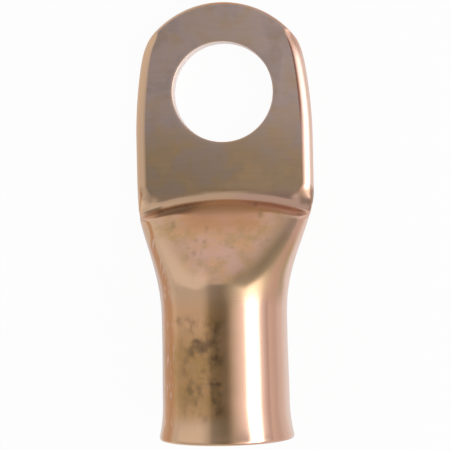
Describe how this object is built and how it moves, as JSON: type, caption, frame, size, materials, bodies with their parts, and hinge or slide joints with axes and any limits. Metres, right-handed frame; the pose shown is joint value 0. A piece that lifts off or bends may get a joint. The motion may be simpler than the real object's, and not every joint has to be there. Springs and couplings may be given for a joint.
{
  "type": "cable lug",
  "caption": "Copper cable lug: a belled tubular barrel whose far end is pressed flat into a round-ended palm with a stud hole.",
  "frame": {"origin": "centre of the stud hole, on the back face of the palm", "axes": "+Z out of the palm's upper face, -Y along the barrel and out of its mouth"},
  "size_m": [0.0186, 0.045, 0.0138],
  "materials": {
    "copper": "satin, lightly tarnished bare copper"
  },
  "bodies": {
    "root": {"cable_lug": "copper"}
  },
  "joints": []
}
